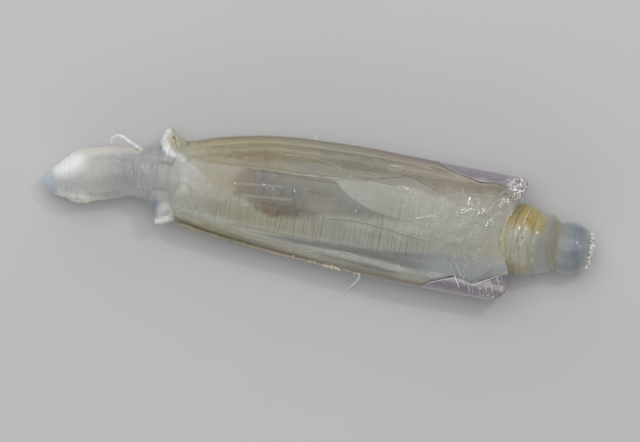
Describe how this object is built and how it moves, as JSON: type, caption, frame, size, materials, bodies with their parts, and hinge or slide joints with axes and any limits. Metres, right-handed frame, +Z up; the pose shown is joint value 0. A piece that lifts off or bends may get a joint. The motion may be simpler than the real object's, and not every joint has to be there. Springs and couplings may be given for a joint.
{
  "type": "razor clam specimen",
  "caption": "Small razor clam lying on one valve: thin see-through gaping shell with the preserved soft body in it, foot out at one end and ringed siphon at the other.",
  "frame": {"origin": "middle of the whole specimen's footprint, on the surface it lies on", "axes": "+X runs along the shell to the siphon end, +Y to the ventral margin, away from the ligament, +Z up from the left valve to the right valve"},
  "size_m": [0.0968, 0.0226, 0.0117],
  "materials": {
    "valve": "gloss",
    "ligament": "satin",
    "mantle": "satin",
    "foot": "satin",
    "siphon": "gloss",
    "siphon_skin": "satin"
  },
  "bodies": {
    "root": {"right_valve": "valve", "left_valve": "valve", "ligament": "ligament", "mantle": "mantle", "foot": "foot", "siphon": "siphon", "siphon_skin": "siphon_skin"}
  },
  "joints": []
}
